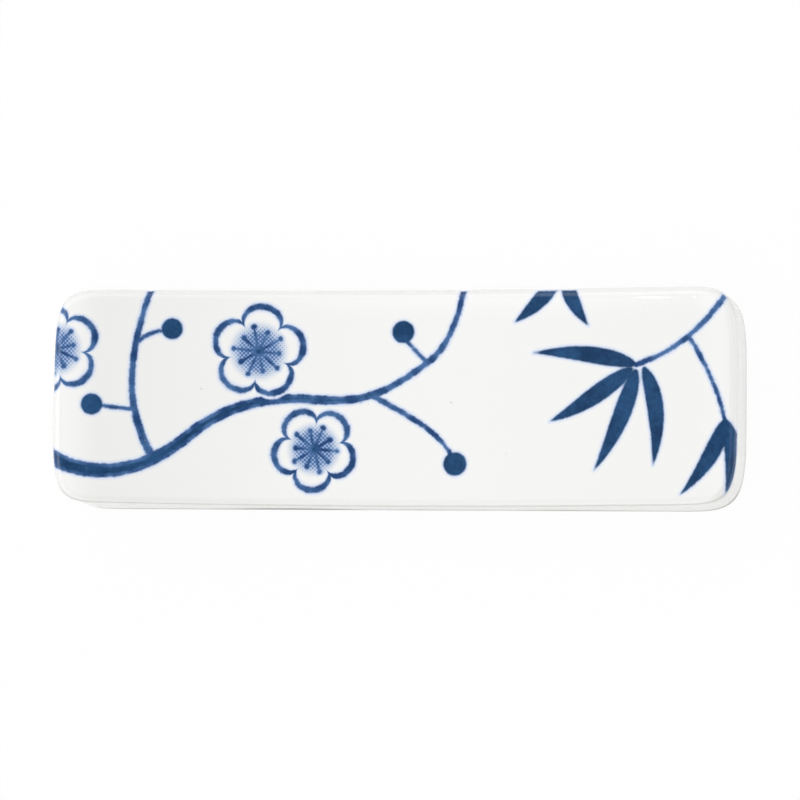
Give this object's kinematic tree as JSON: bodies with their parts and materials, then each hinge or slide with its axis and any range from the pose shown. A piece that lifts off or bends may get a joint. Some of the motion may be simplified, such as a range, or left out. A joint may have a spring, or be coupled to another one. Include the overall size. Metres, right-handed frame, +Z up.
{
  "type": "chopstick rest",
  "caption": "Low oblong glazed porcelain chopstick rest with a dipped top, rounded corners, a bare foot rim round a shallow recess, and a cobalt plum and bamboo print.",
  "frame": {"origin": "centre of the box at the bottom, on the surface that the foot rim stands on", "axes": "+X along the length, +Y across the width, +Z up, out of the dipped top"},
  "size_m": [0.062, 0.0198, 0.0079],
  "materials": {
    "porcelain": "fired, unglazed, fine matt grain",
    "clear_glaze": "clear glossy glaze over white porcelain",
    "cobalt_line": "cobalt line under glossy glaze",
    "cobalt_fill": "dense cobalt under glossy glaze",
    "cobalt_wash": "halftone cobalt under glossy glaze"
  },
  "bodies": {
    "root": {"porcelain_body": "porcelain", "glaze_coat": "clear_glaze", "recess_glaze": "clear_glaze", "plum_branch_print": "cobalt_line", "plum_blossom_print": "cobalt_line", "blossom_wash_print": "cobalt_wash", "plum_bud_print": "cobalt_fill", "bamboo_stem_print": "cobalt_line", "bamboo_leaf_print": "cobalt_fill"}
  },
  "joints": []
}
